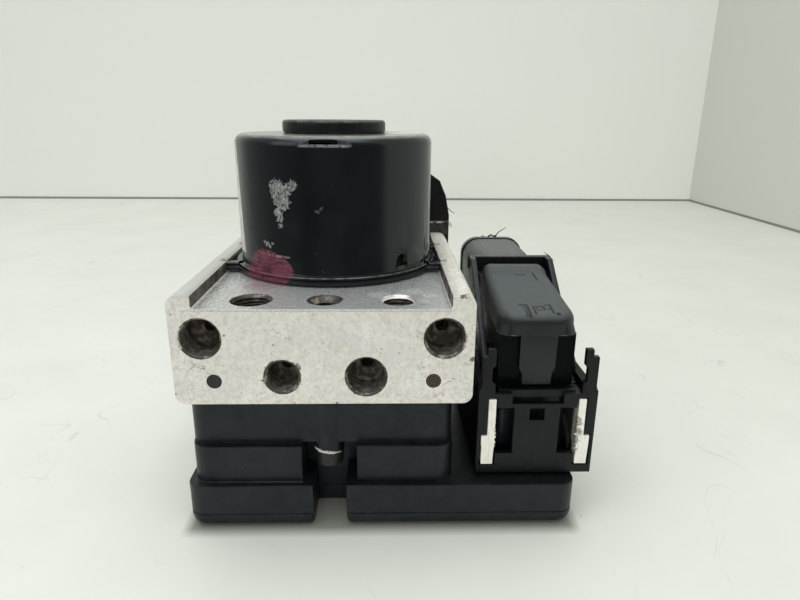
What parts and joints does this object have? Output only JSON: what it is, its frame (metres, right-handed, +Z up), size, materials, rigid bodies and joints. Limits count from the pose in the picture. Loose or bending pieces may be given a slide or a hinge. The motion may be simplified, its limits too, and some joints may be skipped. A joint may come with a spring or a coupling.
{
  "type": "abs brake module",
  "caption": "Anti-lock brake hydraulic unit: ported aluminium valve block with a round pump motor on top, a control unit below and a lever-locked harness plug beside it.",
  "frame": {"origin": "on the motor's axis, in the plane of the control unit's underside, on which the unit stands", "axes": "+X from the block towards the harness plug, +Y from the port face towards the rear bracket, +Z up along the motor's axis"},
  "size_m": [0.1249, 0.1, 0.1212],
  "materials": {
    "block": "extruded and milled, satin",
    "plug_steel": "dull plated steel",
    "machined_steel": "ground",
    "spring_wire": "drawn wire",
    "anodised": "hard anodised",
    "copper": "enamelled copper",
    "laminations": "stamped sheet",
    "ferrite": "sintered ferrite",
    "carbon": "pressed carbon",
    "motor_black": "semi-gloss black dip coat, scratched",
    "cap_black": "moulded, dusty",
    "natural_plastic": "glass-filled",
    "unit_plastic": "glass-filled, fine grain",
    "plug_plastic": "moulded",
    "cover_plastic": "moulded, dusty",
    "cam_white": "moulded, grimy",
    "seal_rubber": "soft",
    "brass_pins": "tinned",
    "board": "solder mask",
    "chip_black": "moulded",
    "wire_black": "insulated strands",
    "bracket_steel": "black, dirty"
  },
  "bodies": {
    "unit": {"valve_block": "block", "gallery_plugs": "plug_steel", "pump_sleeve_left": "machined_steel", "pump_sleeve_right": "machined_steel", "pump_balls": "machined_steel", "pump_end_caps": "plug_steel", "pump_springs": "spring_wire", "accumulator_caps": "plug_steel", "accumulator_springs": "spring_wire", "inlet_valve_bodies": "machined_steel", "outlet_valve_bodies": "machined_steel", "valve_springs": "spring_wire", "valve_coils": "copper", "coil_yokes": "machined_steel", "motor_end_shield": "motor_black", "motor_can": "motor_black", "motor_end_cap": "cap_black", "motor_magnets": "ferrite", "bearing_outer_rings": "machined_steel", "brush_holder": "natural_plastic", "carbon_brushes": "carbon", "brush_springs": "spring_wire", "motor_contact": "natural_plastic", "control_housing": "unit_plastic", "control_cover": "unit_plastic", "housing_gasket": "seal_rubber", "header_pins": "brass_pins", "circuit_board": "board", "board_components": "chip_black", "fixing_screws": "plug_steel", "rear_bracket": "bracket_steel", "bracket_bolt": "plug_steel"},
    "rotor": {"motor_shaft": "machined_steel", "armature_stack": "laminations", "armature_windings": "copper", "commutator": "copper", "eccentric": "machined_steel", "bearing_inner_rings": "machined_steel", "bearing_balls": "machined_steel"},
    "eccentric_ring": {"eccentric_ring": "machined_steel"},
    "pump_piston_left": {"pump_piston_left": "machined_steel"},
    "pump_piston_right": {"pump_piston_right": "machined_steel"},
    "accumulator_piston_left": {"accumulator_piston_left": "anodised"},
    "accumulator_piston_right": {"accumulator_piston_right": "anodised"},
    "plug": {"plug_housing": "plug_plastic", "wire_cover": "cover_plastic", "plug_terminals": "brass_pins", "plug_seal": "seal_rubber", "cut_wires": "wire_black"},
    "lever": {"plug_lever": "plug_plastic"},
    "cam_left": {"cam_plate_left": "cam_white"},
    "cam_right": {"cam_plate_right": "cam_white"},
    "inlet_plunger_1": {"inlet_plunger_1": "machined_steel"},
    "inlet_plunger_2": {"inlet_plunger_2": "machined_steel"},
    "inlet_plunger_3": {"inlet_plunger_3": "machined_steel"},
    "inlet_plunger_4": {"inlet_plunger_4": "machined_steel"},
    "outlet_plunger_1": {"outlet_plunger_1": "machined_steel"},
    "outlet_plunger_2": {"outlet_plunger_2": "machined_steel"},
    "outlet_plunger_3": {"outlet_plunger_3": "machined_steel"},
    "outlet_plunger_4": {"outlet_plunger_4": "machined_steel"}
  },
  "joints": [
    {"name": "motor_spin", "type": "hinge", "parent": "unit", "child": "rotor", "pos_m": [0, 0, 0.0576], "axis": [0, 0, 1], "continuous": true},
    {"name": "ring_spin", "type": "hinge", "parent": "rotor", "child": "eccentric_ring", "pos_m": [0, 0.0012, 0.0576], "axis": [0, 0, 1], "continuous": true},
    {"name": "pump_left_stroke", "type": "slide", "parent": "unit", "child": "pump_piston_left", "axis": [1, 0, 0], "range_m": [0, 0.0012]},
    {"name": "pump_right_stroke", "type": "slide", "parent": "unit", "child": "pump_piston_right", "axis": [-1, 0, 0], "range_m": [0, 0.0012], "deforming": ["pump_springs"]},
    {"name": "accumulator_left_stroke", "type": "slide", "parent": "unit", "child": "accumulator_piston_left", "axis": [0, 1, 0], "range_m": [0, 0.006], "stiffness_N_per_m": 1000, "springref_m": -0.01},
    {"name": "accumulator_right_stroke", "type": "slide", "parent": "unit", "child": "accumulator_piston_right", "axis": [0, 1, 0], "range_m": [0, 0.006], "stiffness_N_per_m": 1000, "springref_m": -0.01, "deforming": ["accumulator_springs"]},
    {"name": "inlet_valve_1", "type": "slide", "parent": "unit", "child": "inlet_plunger_1", "axis": [0, 0, 1], "range_m": [0, 0.0003], "stiffness_N_per_m": 1500, "springref_m": -0.002, "deforming": ["valve_springs"]},
    {"name": "inlet_valve_2", "type": "slide", "parent": "unit", "child": "inlet_plunger_2", "axis": [0, 0, 1], "range_m": [0, 0.0003], "stiffness_N_per_m": 1500, "springref_m": -0.002},
    {"name": "inlet_valve_3", "type": "slide", "parent": "unit", "child": "inlet_plunger_3", "axis": [0, 0, 1], "range_m": [0, 0.0003], "stiffness_N_per_m": 1500, "springref_m": -0.002},
    {"name": "inlet_valve_4", "type": "slide", "parent": "unit", "child": "inlet_plunger_4", "axis": [0, 0, 1], "range_m": [0, 0.0003], "stiffness_N_per_m": 1500, "springref_m": -0.002},
    {"name": "outlet_valve_1", "type": "slide", "parent": "unit", "child": "outlet_plunger_1", "axis": [0, 0, -1], "range_m": [0, 0.0003], "stiffness_N_per_m": 1500, "springref_m": -0.002},
    {"name": "outlet_valve_2", "type": "slide", "parent": "unit", "child": "outlet_plunger_2", "axis": [0, 0, -1], "range_m": [0, 0.0003], "stiffness_N_per_m": 1500, "springref_m": -0.002},
    {"name": "outlet_valve_3", "type": "slide", "parent": "unit", "child": "outlet_plunger_3", "axis": [0, 0, -1], "range_m": [0, 0.0003], "stiffness_N_per_m": 1500, "springref_m": -0.002},
    {"name": "outlet_valve_4", "type": "slide", "parent": "unit", "child": "outlet_plunger_4", "axis": [0, 0, -1], "range_m": [0, 0.0003], "stiffness_N_per_m": 1500, "springref_m": -0.002},
    {"name": "plug_lift", "type": "slide", "parent": "unit", "child": "plug", "axis": [0, 0, 1], "range_m": [0, 0.007]},
    {"name": "lever_swing", "type": "hinge", "parent": "plug", "child": "lever", "pos_m": [0.06375, -0.0345, 0.0456], "axis": [1, 0, 0], "range_deg": [0, 80]},
    {"name": "cam_left_slide", "type": "slide", "parent": "plug", "child": "cam_left", "axis": [0, 1, 0], "range_m": [0, 0.00874]},
    {"name": "cam_right_slide", "type": "slide", "parent": "plug", "child": "cam_right", "axis": [0, 1, 0], "range_m": [0, 0.00874]}
  ],
  "couplings": [
    {"joint": "lever_swing", "follows": "plug_lift", "rad_per_m": 199.47},
    {"joint": "cam_left_slide", "follows": "plug_lift", "ratio": 1.2488},
    {"joint": "cam_right_slide", "follows": "plug_lift", "ratio": 1.2488}
  ]
}
